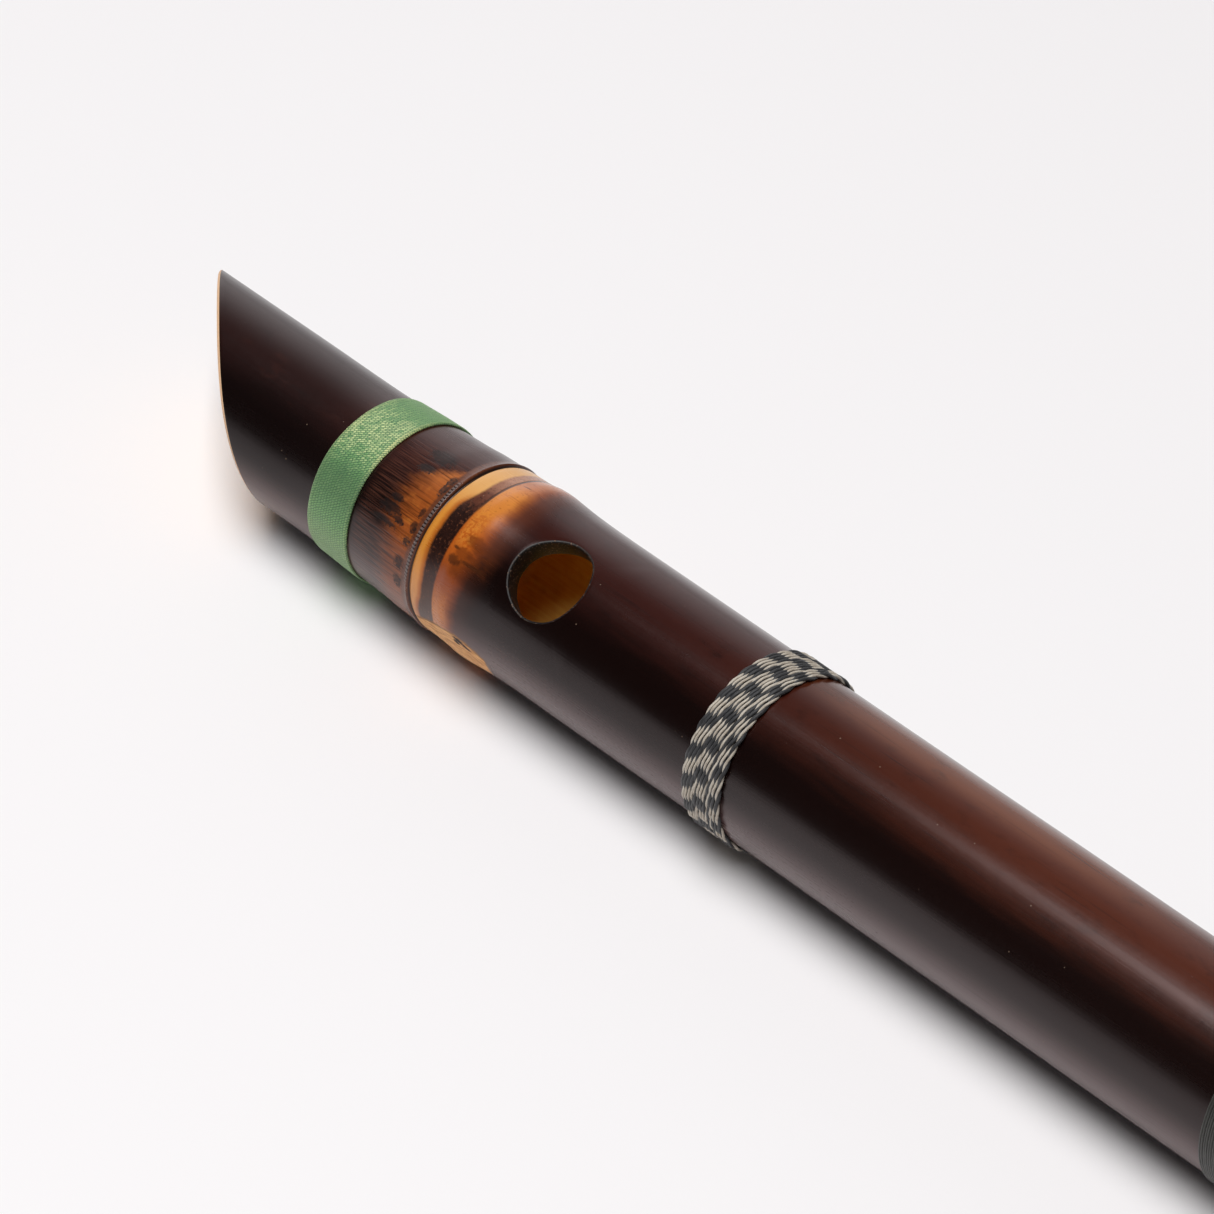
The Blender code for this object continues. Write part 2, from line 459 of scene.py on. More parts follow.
def skin_radius(station, turn):
    """The culm's outside radius: slightly uneven, with its nodes and their trimmed buds."""
    station, turn = np.broadcast_arrays(np.asarray(station, float), np.asarray(turn, float))
    past, number = nearest_node(station)
    radius = smooth_curve(station, *zip(*CULM_RADII)) + smooth_curve(past, *zip(*NODE_SHAPE))
    angle = np.radians(turn)
    radius = radius + 0.018 * np.sin(station / 19.0 + 2 * angle + 1.1)
    radius = radius + 0.012 * np.sin(station / 7.3 - 3 * angle)
    crest = np.exp(-((past - CREST_PAST) / 3.5) ** 2)
    radius = radius + crest * 0.05 * np.sin(2 * angle + 0.6 + number)
    # The bud is on the other side of the culm at every second node.
    aside = np.abs((turn - SCAR_TURN - 180.0 * (number % 2) + 180.0) % 360.0 - 180.0)
    flat = SCAR_HEIGHT - 0.13 * (number > 0) + 0.15 * ((past - SCAR_PAST) / 6.7) ** 2
    flat = flat + 0.03 * np.sin(past * 1.7) * np.cos(aside / 5.0)
    trimmed = flat / np.cos(np.radians(np.minimum(aside, 60.0)))
    near = (np.abs(past - SCAR_PAST) < 9.0) & (aside < 40.0)
    return np.where(near, np.minimum(radius, trimmed), radius)


def cut_station(turn, radius):
    """Station of the slanted, slightly scooped cut."""
    angle = np.radians(turn)
    out = radius / HEAD_R
    plane = CUT_MIDDLE + out * (CUT_ASIDE * np.sin(angle) - CUT_UP * np.cos(angle))
    return plane + out**2 * CUT_SCOOP * np.cos(2 * angle)


def steps(start, end, spacing):
    """Even steps from the start, about the spacing apart, that stop short of the end."""
    count = max(int(round(abs(end - start) / spacing)), 1)
    return list(np.linspace(start, end, count + 1))[:-1]


# Each hole sits in a block of the culm's rings and columns, which its own faces take the place of:
# station, radius, half length of the block, rows in it, and half of its columns.
HOLE_BLOCKS = [(0.0, EMBOUCHURE_R, 9.0, 30, 21)]
HOLE_BLOCKS += [(station, radius, radius + 2.2, 14, 16) for station, radius in FINGER_HOLES]


def node_rows(node):
    return (steps(node - 10.0, node - 3.0, 0.8) + steps(node - 3.0, node - 1.0, 0.33)
            + steps(node - 1.0, node + 0.8, 0.1) + steps(node + 0.8, node + 10.0, 0.5)
            + steps(node + 10.0, node + 11.0, 1.0))


def fill_between(rows, spacing):
    """Adds rows wherever a gap is wider than the spacing."""
    filled = [rows[0]]
    for row in rows[1:]:
        if row - filled[-1] > spacing:
            filled += steps(filled[-1], row, spacing)[1:]
        filled.append(row)
    return filled


def hole_rows():
    rows = []
    for station, _, half, count, _ in HOLE_BLOCKS:
        rows += list(np.linspace(station - half, station + half, count + 1))
    return rows


def outer_rows():
    """Stations of the rings on the skin, from below the slanted cut to the foot."""
    rows = hole_rows() + steps(FIRST_ROW, -33.0, 1.7) + steps(-33.0, -30.4, 0.65)
    for node in NODES:
        rows += node_rows(node)
    rows.append(FOOT - 0.5)
    return fill_between(sorted(rows), 4.0)


def inner_rows():
    """Stations of the rings in the bore, from the foot back to the septum."""
    rows = hole_rows() + [-15.0, FOOT - 0.4]
    return fill_between(sorted(rows), 9.0)[::-1]


KIND_SKIN, KIND_WALL, KIND_BORE, KIND_CUT = range(4)


class Rings:
    """The culm's rings in order: its stations and radii, and the kind of the faces after each."""

    def __init__(self):
        self.stations = []
        self.radii = []
        self.kinds = []

    def add(self, station, radius, kind):
        even = np.ones(COLUMNS)
        self.stations.append(station * even)
        self.radii.append(radius * even)
        self.kinds.append(kind)


def add_head_hollow(rings):
    """Out from the middle of the septum, and along the hollow to the slanted cut."""
    head_side = NODES[0] - SEPTUM_HALF
    for radius in (1.2, 3.0, 4.8, 6.4):
        rings.add(head_side - 0.25 * (1 - radius / 8.0), radius, KIND_BORE)
    for lift, radius in ((0.1, 7.4), (0.45, 8.2), (1.2, 8.65)):
        rings.add(head_side - lift, radius, KIND_BORE)
    for station in steps(head_side - 3.0, FIRST_ROW, 4.5):
        rings.add(station, HOLLOW_R + 0.05 * math.sin(station * 0.6), KIND_BORE)
    edge = cut_station(TURNS, HOLLOW_R)
    for t in np.linspace(0.0, 1.0, 10)[:-1]:
        rings.add(FIRST_ROW + (edge + 0.5 - FIRST_ROW) * t, HOLLOW_R, KIND_BORE)
    rings.add(edge + 0.45, HOLLOW_R, KIND_CUT)
    rings.add(edge + 0.22, HOLLOW_R + 0.04, KIND_CUT)


def add_slanted_cut(rings):
    """Across the cut, over its worn outer edge, and along the skin until the slant is behind."""
    rings.add(cut_station(TURNS, HOLLOW_R + 0.16) + 0.05, HOLLOW_R + 0.14, KIND_CUT)
    outer_r = skin_radius(cut_station(TURNS, HEAD_R), TURNS)
    for t in np.linspace(0.12, 0.9, 7):
        radius = HOLLOW_R + (outer_r - HOLLOW_R) * t
        wave = 0.05 * np.sin(np.radians(TURNS) * 3 + t * 5) * math.sin(math.pi * t)
        rings.add(cut_station(TURNS, radius) + wave, radius, KIND_CUT)
    for inset, back in ((0.34, 0.03), (0.17, 0.19), (0.04, 0.41)):
        rings.add(cut_station(TURNS, outer_r - inset) + back, outer_r - inset, KIND_CUT)
    edge = cut_station(TURNS, outer_r) + 0.58
    for t in np.linspace(0.0, 1.0, 25)[:-1]:
        station = edge + (FIRST_ROW - edge) * t
        rings.add(station, skin_radius(station, TURNS), KIND_SKIN)


def add_foot_face(rings):
    """Over the foot's rounded outer edge, across its face and over its inner edge."""
    foot_r = skin_radius(FOOT, TURNS)
    outer_flat = foot_r - 0.32
    inner_flat = BORE_R + 0.28
    for back, inset in ((0.34, 0.01), (0.15, 0.06), (0.04, 0.16)):
        rings.add(FOOT - back, foot_r - inset, KIND_CUT)
    for t in (0.0, 0.25, 0.5, 0.75, 1.0):
        rings.add(FOOT, outer_flat + (inner_flat - outer_flat) * t, KIND_CUT)
    rings.add(FOOT - 0.08, BORE_R + 0.12, KIND_CUT)
    rings.add(FOOT - 0.22, BORE_R + 0.03, KIND_BORE)


def culm_rings():
    """All rings, and the first ring and the rows' stations of the skin and of the bore."""
    rings = Rings()
    add_head_hollow(rings)
    add_slanted_cut(rings)
    outer = (len(rings.kinds), outer_rows())
    for station in outer[1]:
        rings.add(station, skin_radius(station, TURNS), KIND_SKIN)
    rings.kinds[-1] = KIND_CUT
    add_foot_face(rings)
    inner = (len(rings.kinds), inner_rows())
    for station in inner[1]:
        rings.add(station, BORE_R, KIND_BORE)
    foot_side = NODES[0] + SEPTUM_HALF
    for lift, radius in ((1.4, 9.3), (0.6, 8.9), (0.15, 8.1), (0.0, 6.8), (0.15, 4.8), (0.2, 2.4)):
        rings.add(foot_side + lift, radius, KIND_BORE)
    return rings, outer, inner


def block_loop(first_ring, rows, block, index):
    """Vertex numbers and (ring, column) places round one hole's block, outside or inside.

    It starts at the block's low corner and goes towards growing turn first.
    """
    station, _, half, _, half_columns = block
    rows = np.asarray(rows)
    low = first_ring + int(np.argmin(np.abs(rows - (station - half))))
    high = first_ring + int(np.argmin(np.abs(rows - (station + half))))
    way = 1 if high > low else -1
    places = [(low, c) for c in range(-half_columns, half_columns)]
    places += [(r, half_columns) for r in range(low, high, way)]
    places += [(high, c) for c in range(half_columns, -half_columns, -1)]
    places += [(r, -half_columns) for r in range(high, low, -way)]
    numbers = np.array([index[r, c % COLUMNS] for r, c in places])
    return numbers, places, (min(low, high), max(low, high))


def hole_point(station, along, aside, height):
    """A point over a hole: along the flute, aside round it, and the height along the drill."""
    angle = math.radians(HOLE_TURN)
    x = EMBOUCHURE_X + (station + along) * MM
    y = -(height * math.sin(angle) + aside * math.cos(angle)) * MM
    z = AXIS_Z + (height * math.cos(angle) - aside * math.sin(angle)) * MM
    return np.stack(np.broadcast_arrays(x, y, z), axis=-1)


def skin_height(station, along, aside):
    """Height of the skin along the drill, found in three steps from a round culm."""
    height = np.sqrt(12.4**2 - aside**2)
    for _ in range(3):
        turn = np.degrees(np.arctan2(aside, height))
        height = np.sqrt(skin_radius(station + along, HOLE_TURN + turn) ** 2 - aside**2)
    return height


def add_hole(sheet, rings, index, outer, inner, block):
    """Rings of faces from the skin round one hole, over its rounded edge, down to the bore."""
    station = block[0]
    radius = block[1] - HOLE_TIGHTER
    previous, places, _ = block_loop(*outer, block, index)
    last, _, _ = block_loop(*inner, block, index)
    corner_along = np.array([rings.stations[r][c % COLUMNS] - station for r, c in places])
    corner_turn = np.array([c * COLUMN_STEP for _, c in places])
    corner_r = skin_radius(corner_along + station, HOLE_TURN + corner_turn)
    corner_aside = corner_r * np.sin(np.radians(corner_turn))
    inner_aside = BORE_R * np.sin(np.radians(corner_turn))
    way = np.arctan2(corner_aside, corner_along)
    ragged = 1.0 + 0.006 * np.sin(3 * way + station) + 0.004 * np.sin(7 * way + 2.0)
    edge_along = np.cos(way) * ragged
    edge_aside = np.sin(way) * ragged

    def push(along, aside, height, kind):
        nonlocal previous
        numbers = sheet.add(hole_point(station, along, aside, height))
        sheet.quads(ring_quads(previous, numbers), kind)
        previous = numbers

    def bore_height(aside):
        return np.sqrt(BORE_R**2 - aside**2)

    reach = radius + HOLE_EDGE
    for t in (0.2, 0.4, 0.58, 0.74, 0.87, 1.0):
        along = corner_along * (1 - t) + edge_along * reach * t
        aside = corner_aside * (1 - t) + edge_aside * reach * t
        push(along, aside, skin_height(station, along, aside), KIND_SKIN)
    for lean in np.radians((18, 36, 54, 72, 90)):
        out = radius + HOLE_EDGE * (1 - math.sin(lean))
        along, aside = edge_along * out, edge_aside * out
        dip = HOLE_EDGE * (1 - math.cos(lean))
        push(along, aside, skin_height(station, along, aside) - dip, KIND_WALL)
    along, aside = edge_along * radius, edge_aside * radius
    top = skin_height(station, along, aside) - HOLE_EDGE
    bottom = bore_height(aside) + HOLE_FOOT
    for t in (0.2, 0.4, 0.6, 0.8, 1.0):
        narrow = 1.0 - 0.012 * math.sin(math.pi * t)
        push(along * narrow, aside * narrow, top + (bottom - top) * t, KIND_WALL)
    for lean in np.radians((30, 60, 90)):
        out = radius + HOLE_FOOT * (1 - math.cos(lean))
        along, aside = edge_along * out, edge_aside * out
        push(along, aside, bore_height(aside) + HOLE_FOOT * (1 - math.sin(lean)), KIND_WALL)
    start_along, start_aside = along, aside
    for t in (0.35, 0.7):
        along = start_along * (1 - t) + corner_along * t
        aside = start_aside * (1 - t) + inner_aside * t
        push(along, aside, bore_height(aside), KIND_BORE)
    sheet.quads(ring_quads(previous, last), KIND_BORE)


def stand_in(piece, node):
    """Shows the piece in place of one node of the CAD model, which it hides."""
    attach(piece, "root")
    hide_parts(node)


def build_culm(materials):
    rings, outer, inner = culm_rings()
    sheet = Sheet()
    index = sheet.add(on_flute(np.array(rings.stations), np.array(rings.radii), TURNS[None, :]))
    blocked = np.zeros(index.shape, bool)
    for block in HOLE_BLOCKS:
        columns = np.arange(-block[4], block[4]) % COLUMNS
        for side in (outer, inner):
            _, _, (low, high) = block_loop(*side, block, index)
            blocked[low:high, columns] = True
    for r in range(len(index) - 1):
        sheet.quads(ring_quads(index[r], index[r + 1])[~blocked[r]], rings.kinds[r])
    for ring, middle in ((index[0][::-1], NODES[0] - SEPTUM_HALF - 0.25),
                         (index[-1], NODES[0] + SEPTUM_HALF + 0.2)):
        centre = int(sheet.add(on_flute(np.array([middle]), 0.0, 0.0))[0])
        sheet.fan(ring, centre, KIND_BORE)
    for block in HOLE_BLOCKS:
        add_hole(sheet, rings, index, outer, inner, block)
    stand_in(sheet.build("bamboo_tube", materials), "bamboo_culm")


# ---- Windings ----
CORD_PITCH = 0.56
CORD_TURNS = 12
TWISTS_PER_TURN = 18
POINTS_PER_TWIST = 12
# Where in its twist the cord is at the middle of each turn, in twists.
TURN_PHASES = (0.52, 0.5, 0.47, 0.44, 0.02, 0.0, 0.03, 0.06, 0.1, 0.6, 0.64, 0.67)
STRANDS = ((0, 0.18, 0.19), (1, 0.26, 0.23))  # pale, then dark: half width and half height
STRAND_OUT = 0.16  # from the cord's middle to each strand's
CORD_SEAT = 12.32
CORD_RISE = 0.38  # of the cord's middle above its seat
CORD_BANDS = (  # name, CAD node, first station, phase of the twist
    ("head_cord_turns", "head_cord_band", 32.1, 0.0),
    ("middle_cord_turns", "middle_cord_band", 263.0, 0.31),
    ("foot_cord_turns", "foot_cord_band", 392.0, 0.73),
)

THREAD_PITCH = 0.36
THREAD_R = 0.19
THREAD_RISE = 0.17
THREAD_BINDINGS = (  # name, CAD node, first station, width, seat
    ("upper_thread_turns", "upper_thread_binding", 122.5, 24.4, 12.32),
    ("foot_thread_turns", "foot_thread_binding", 370.0, 15.9, 12.3),
)

RIBBON_WIDTH = 8.0
RIBBON_THICKNESS = 0.36
RIBBON_OVERLAP = 24.0  # degrees
RIBBONS = (  # name, CAD node, first station
    ("head_ribbon_wrap", "head_ribbon", -41.35),
    ("foot_ribbon_wrap", "foot_ribbon", 406.1),
)


def strand_along(sheet, stations, radii, turns, wide, tall, sides, kind):
    """A closed strand round the flute, its section wide along the flute and tall away from it."""
    around = np.arange(sides) * 2 * math.pi / sides
    station = stations[:, None] + wide[:, None] * np.cos(around)
    radius = radii[:, None] + tall[:, None] * np.sin(around)
    sheet.tube(sheet.add(on_flute(station, radius, turns[:, None])), kind)


def tapered(wound, turns, taper):
    """1 along a winding, and 0 at its two ends."""
    return np.minimum(smoothstep(0.0, taper, wound), smoothstep(turns, turns - taper, wound))


def build_cord_band(name, node, start, phase, materials):
    """Turns of a fine cord of one pale and one dark strand, twisted together."""
    wound = np.linspace(0.0, CORD_TURNS, POINTS_PER_TWIST * TWISTS_PER_TURN * CORD_TURNS + 1)
    ends = tapered(wound, CORD_TURNS, 0.04)
    wander = 0.05 * np.sin(wound * 2.3 + phase * 9) + 0.03 * np.sin(wound * 11.0)
    station = start + CORD_PITCH * (wound + 0.08) + wander
    radius = CORD_SEAT + CORD_RISE - 0.25 * (1 - ends)
    drift = np.interp(wound, np.arange(CORD_TURNS) + 0.5, TURN_PHASES) + phase
    twist = 2 * math.pi * (wound * TWISTS_PER_TURN - drift)
    sheet = Sheet()
    for strand, wide, tall in STRANDS:
        angle = twist + math.pi * strand
        out = STRAND_OUT * ends
        fat = ends * (1.0 + 0.05 * np.sin(wound * 37.0 + strand))
        strand_along(sheet, station + out * np.cos(angle), radius + out * np.sin(angle),
                     wound * 360.0 + 180.0, wide * fat + 0.01, tall * fat + 0.01, 8, strand)
    stand_in(sheet.build(name, materials), node)


def build_thread_binding(name, node, start, width, seat, material):
    """Fine dark thread, close wound."""
    turns = int(width / THREAD_PITCH)
    wound = np.linspace(0.0, turns, turns * 60 + 1)
    ends = tapered(wound, turns, 0.05)
    station = start + THREAD_PITCH * (wound + 0.5) + 0.02 * np.sin(wound * 3.1)
    uneven = 0.015 * np.sin(wound * 1.7) + 0.01 * np.sin(wound * 0.61)
    radius = seat + THREAD_RISE + uneven - 0.12 * (1 - ends)
    thick = THREAD_R * ends + 0.01
    sheet = Sheet()
    strand_along(sheet, station, radius, wound * 360.0 + 160.0, thick, thick, 6, 0)
    stand_in(sheet.build(name, [material]), node)


def build_ribbon(name, node, start, material):
    """A woven ribbon wound once, its end laid over its start on the side away from the holes."""
    wound = np.linspace(0.0, 360.0 + RIBBON_OVERLAP, 193)
    turn = (wound + HOLE_TURN + 180.0 - RIBBON_OVERLAP / 2)[:, None]
    side = np.linspace(-1.0, 1.0, 25)
    over = smoothstep(352.0, 364.0, wound)[:, None]
    drift = 0.06 * np.sin(np.radians(turn) * 2) + 0.05 * np.sin(np.radians(turn) * 5 + 1.0)
    half = RIBBON_WIDTH / 2
    station = start + half + drift + 0.25 * over + half * side
    seat = skin_radius(station, turn) + 0.3 * over
    lip = 0.05 * np.exp(-((1 - np.abs(side)) / 0.05) ** 2)
    ease = np.sqrt(np.clip(1 - np.abs(side) ** 40, 0, 1))
    ripple = 0.015 * np.sin(np.radians(turn) * 6 + side * 2.2)
    top = seat + RIBBON_THICKNESS * (0.72 + 0.28 * ease) + lip + ripple
    bottom = seat + 0.03
    sheet = Sheet()
    upper = sheet.add(on_flute(station, top, turn))
    lower = sheet.add(on_flute(station[:, ::-1], bottom[:, ::-1], turn))
    sheet.tube(np.concatenate([upper, lower], axis=1), 0)
    stand_in(sheet.build(name, [material]), node)


# ---- Materials ----
# Spots about a node: distance past the groove, turn, half length, and half width in degrees.
CHAR_SPOTS = (
    (-6, 2, 2.4, 6.5), (-6.4, 15.5, 1.5, 3.4), (-6.9, 40.5, 1.2, 3), (-7.1, 48.5, 2, 4.4),
    (-4.9, 52, 1.2, 2.4), (-7.2, 57, 2.2, 2.2), (-1.75, 14, 0.62, 5), (-1.75, 21.5, 0.55, 5),
    (-2, 40, 0.48, 3.6), (-2, 50.5, 0.66, 4.2), (-2.1, 60, 0.66, 3), (-2.4, 75, 1.1, 4.6),
    (-2.3, 88, 0.9, 4.6),
)
SCAR_CRACKS = (
    (9.4, 102.3, 1.1, 1.8), (10.9, 105.9, 0.9, 1.6), (9.9, 104.3, 1.3, 1.4), (8.8, 107.5, 0.6, 2.6),
)
CREST_BURNS = ((8.5, 37, 2, 4.5), (7.6, 46.5, 1.8, 4.5), (8.4, 56, 2.2, 6))
CREST_SPOTS = (
    (6.5, 52, 1.3, 3.4), (6, 45, 0.7, 1.2), (6.4, -14, 0.9, 0.6), (9.6, 50, 2.4, 1.6),
)
TOOTH_PITCH = 0.52


class SkinPlace:
    """Where a point of the skin is, and the noises that its looks share."""

    def __init__(self, g):
        self.station, self.turn = g.flute_place()
        second = g.math("GREATER_THAN", self.station, NODE_CHANGES[0])
        third = g.math("GREATER_THAN", self.station, NODE_CHANGES[1])
        past = self.station - NODES[0]
        self.past = past - second * (NODES[1] - NODES[0]) - third * (NODES[2] - NODES[1])
        shifted = self.turn + (second - third) * 180
        self.bud_turn = shifted - g.math("GREATER_THAN", shifted, 180) * 360
        self.fibres = g.flute_noise(0.05, 3.2, 2, 0.6)
        self.lines = g.flute_noise(0.06, 4.3, 1, shift=7)
        self.streaks = g.flute_noise(0.1, 0.95)
        self.blots = g.flute_noise(0.9, 0.9, 3, 0.6)
        self.grain = g.flute_noise(2.6, 2.6)


def plain_skin(g, p):
    """Warm on top, near black below and towards the head, more orange on the upper back partly from
    painted light, and paler underneath where a reflection of the floor is painted.
    """
    clouds = g.flute_noise(0.022, 0.09, 1)
    toward_top = g.math("COSINE", (p.turn + 15 + p.streaks * 4) * math.radians(1))
    warm = g.ramp(toward_top + clouds * 0.08, 0.5, 0.99)
    colour = g.mix((0.0045, 0.001, 0.0006), (0.036, 0.0072, 0.0048), warm)
    redder = g.mix((0.0055, 0.0011, 0.0006), (0.082, 0.0165, 0.006), warm)
    colour = g.mix(colour, redder, g.ramp(p.station, 15, 85))
    head = g.mix((0.0036, 0.001, 0.0008), (0.018, 0.0045, 0.0036), warm)
    colour = g.mix(colour, head, g.fall(p.station, -50, -30))
    # More orange on the upper back of the body: partly the bamboo's less scorched tone, partly painted
    # light from above.
    less_scorched_and_lit = g.window(p.turn, -50, -30, -18, -2)
    less_scorched_and_lit = less_scorched_and_lit * g.window(p.station, 30, 55, 80, 115)
    colour = g.mix(colour, (0.19, 0.05, 0.012), less_scorched_and_lit * 0.6)
    mottles = g.flute_noise(0.2, 0.4, 3, 0.6)
    colour = g.mix(colour, (0.004, 0.001, 0.0007), g.ramp(mottles, 0.05, 1, 0, 0.6))
    colour = g.mix(colour, (0.085, 0.02, 0.01), g.fall(mottles, -1, -0.25) * warm * 0.35)
    # Paler underneath: a painted reflection of the floor.
    under = g.window(p.turn, 76, 106, 120, 150)
    colour = g.mix(colour, (0.12, 0.07, 0.068), under * 0.8)
    dark_fibres = g.ramp(p.fibres + p.streaks * 0.7, 0.1, 1.3, 0, 0.5)
    return g.mix(colour, (0.003, 0.0008, 0.0006), dark_fibres)


def above_groove(g, p, colour):
    """An orange patch, lined and charred. Gives the colour, where it is charred, and its relief."""
    past, turn = p.past, p.turn
    patch = g.ramp(turn - (3 - (past + 2.1) * 3) + p.blots * 4, -2, 6)
    patch = patch * g.ramp(past + p.fibres * 0.9 + p.streaks * 0.9 + p.blots * 0.5, -8.6, -2.7)
    patch = patch * g.ramp(turn, 48, 78, 1, 0.6) * g.fall(turn, 125, 155)
    tone = g.mix((0.5, 0.15, 0.036), (0.37, 0.088, 0.014), g.ramp(turn, 8, 32))
    tone = g.mix(tone, (0.62, 0.2, 0.03), patch * g.ramp(p.blots + p.streaks, 0, 1.2) * 0.6)
    lined = g.window(past, -13, -11, -2.4, -0.9) * g.ramp(turn, -12, 12, 0.35, 1)
    colour = g.mix(colour, (0.1, 0.034, 0.02), lined * g.fall(p.lines, -0.6, 0.35) * 0.62)
    colour = g.mix(colour, tone, patch * g.ramp(p.lines, -0.9, 0.6, 1, 0.72))
    colour = g.mix(colour, (0.005, 0.0016, 0.0012), lined * g.ramp(p.lines, 0.1, 0.7, 0, 0.62))
    by_groove = g.ramp(past + p.blots * 0.15, -1.9, -1.3) * g.ramp(turn, -40, 0, 0.6, 0.95)
    brown = g.mix((0.135, 0.044, 0.02), (0.075, 0.02, 0.009), g.ramp(p.fibres + p.blots, -0.5, 0.9))
    colour = g.mix(colour, brown, by_groove)
    ragged = p.fibres * 0.45 + p.grain * 0.75 + p.blots * 0.5 - 0.12
    char = g.spots(past + p.blots * 0.25, turn + p.grain * 1.6, ragged, CHAR_SPOTS)
    char_depth = g.ramp(p.grain + p.lines * 0.6, -0.7, 0.2, 0.96, 0.72)
    colour = g.mix(colour, (0.006, 0.0032, 0.0027), char * char_depth)
    arc = turn * (math.radians(1) * 12.6)
    teeth = g.math("SINE", (arc + p.blots * 0.1) * (2 * math.pi / TOOTH_PITCH))
    teeth = g.ramp(teeth, -0.6, 0.5)
    toothed = g.window(past + p.grain * 0.03, -0.98, -0.82, -0.36, -0.22)
    toothed = toothed * g.window(turn, 8, 16, 74, 90)
    # Each tooth's grey is a painted highlight on its ridge, with dark between the teeth.
    tooth_glint_colour = g.mix((0.01, 0.005, 0.005), (0.15, 0.115, 0.105), teeth)
    colour = g.mix(colour, tooth_glint_colour, toothed * 0.9)
    return colour, char, teeth * toothed * 0.05 - p.lines * lined * 0.016


def crest_colour(g, p, soft):
    """Orange, golden on top, browner where it fades and where it was burnt."""
    turn = p.turn
    tone = g.mix((0.5, 0.165, 0.055), (0.68, 0.24, 0.042), g.ramp(turn, -18, -2))
    tone = g.mix(tone, (0.46, 0.1, 0.01), g.ramp(turn, 0, 40))
    tone = g.mix(tone, (0.27, 0.055, 0.008), g.ramp(turn, 46, 62))
    tone = g.mix(tone, (0.56, 0.185, 0.045), g.ramp(turn, 66, 90))
    tone = g.mix(tone, (0.36, 0.07, 0.014), g.ramp(soft, -1.6, 0.4, 0, 0.7))
    golden = g.window(turn, 6, 18, 36, 48) * g.window(p.past, 4.8, 5.6, 7, 8.2)
    tone = g.mix(tone, (0.78, 0.29, 0.04), golden * g.ramp(p.blots + p.grain, -0.5, 0.5) * 0.65)
    tone = g.mix(tone, (0.22, 0.044, 0.007), g.ramp(p.grain + p.blots, 0.1, 1.2, 0, 0.65))
    tone = g.mix(tone, (0.28, 0.056, 0.008), g.ramp(p.fibres + p.lines * 0.5, 0.1, 1.1, 0, 0.55))
    burnt = g.spots(p.past, turn, p.grain * 0.25 + p.blots * 0.55, CREST_BURNS)
    return g.mix(tone, (0.11, 0.022, 0.004), burnt * 0.6)


def charred_colour(g, p):
    """Near black on the side, browner towards the top, and speckled."""
    place = p.turn + p.blots * 5
    colour = g.mix((0.3, 0.12, 0.06), (0.125, 0.036, 0.018), g.ramp(place, -3, 9))
    colour = g.mix(colour, (0.02, 0.006, 0.0035), g.ramp(p.turn + p.blots * 6, 10, 26))
    colour = g.mix((0.44, 0.2, 0.11), colour, g.ramp(place, -14, -4))
    speckles = g.ramp(p.grain + p.blots * 0.6, 0.1, 0.9, 0, 0.75)
    colour = g.mix(colour, (0.19, 0.062, 0.026), speckles)
    return g.mix(colour, (0.005, 0.002, 0.0015), g.ramp(p.grain, 0, -0.7, 0, 0.65))


def below_groove(g, p, colour):
    """The orange crest, the charred band with a dark line at its edge, and the pale ring.

    Gives the colour, and where the band and the line are.
    """
    past, turn = p.past, p.turn
    far_edge = 8.8 + g.ramp(turn, -20, 20, 0, 0.65) - g.ramp(turn, 35, 95, 0, 1.15)
    soft = past + p.streaks * 0.35 + p.fibres * 0.12 + p.blots * 0.15 - far_edge
    browned = g.fall(soft, -0.6, 4.6) * g.ramp(turn, 34, 52, 0.95, 0.3)
    colour = g.mix(colour, (0.125, 0.034, 0.016), browned)
    colour = g.mix(colour, crest_colour(g, p, soft), g.fall(soft, -1.7, 1.3))
    amber = g.window(turn, 32, 40, 50, 57) * g.window(past, 7.5, 9, 9.6, 13.6)
    amber = amber * g.ramp(p.fibres + p.blots, -0.8, 0.8)
    colour = g.mix(colour, (0.12, 0.026, 0.004), amber * 0.7)
    band = g.fall(past + p.grain * 0.05, 4.55, 4.95) * g.ramp(turn, 56, 82, 1, 0.93)
    colour = g.mix(colour, charred_colour(g, p), band)
    line = g.window(past, 4.42, 4.6, 4.84, 5.05) * g.window(turn, -55, -40, 12, 26)
    colour = g.mix(colour, (0.035, 0.014, 0.009), line * 0.85)
    ring_end = 2.75 - g.ramp(turn, 5, 28, 0, 1.05) + g.ramp(turn, 50, 78, 0, 0.6)
    ring_end = ring_end - g.ramp(turn, 84, 102, 0, 0.8) + p.streaks * 0.1 + p.blots * 0.06
    pale = g.mix((0.76, 0.4, 0.13), (0.66, 0.255, 0.034), g.ramp(turn, 2, 34))
    pale = g.mix(pale, (0.7, 0.3, 0.09), g.ramp(turn, 58, 90))
    rim = g.ramp(past - ring_end, -0.9, -0.1, 0, 0.85) * g.ramp(turn, 8, 24)
    pale = g.mix(pale, (0.42, 0.105, 0.01), rim)
    pale = g.mix(pale, (0.5, 0.2, 0.045), g.ramp(p.blots + p.fibres * 0.5, 0.1, 1.1, 0, 0.4))
    ring = g.fall(past + p.grain * 0.03 - ring_end, -0.2, 0.42)
    colour = g.mix(colour, pale, ring)
    marks = g.spots(past, turn, p.blots * 0.6 + p.grain * 0.3, CREST_SPOTS)
    return g.mix(colour, (0.05, 0.014, 0.004), marks * 0.75), band, line


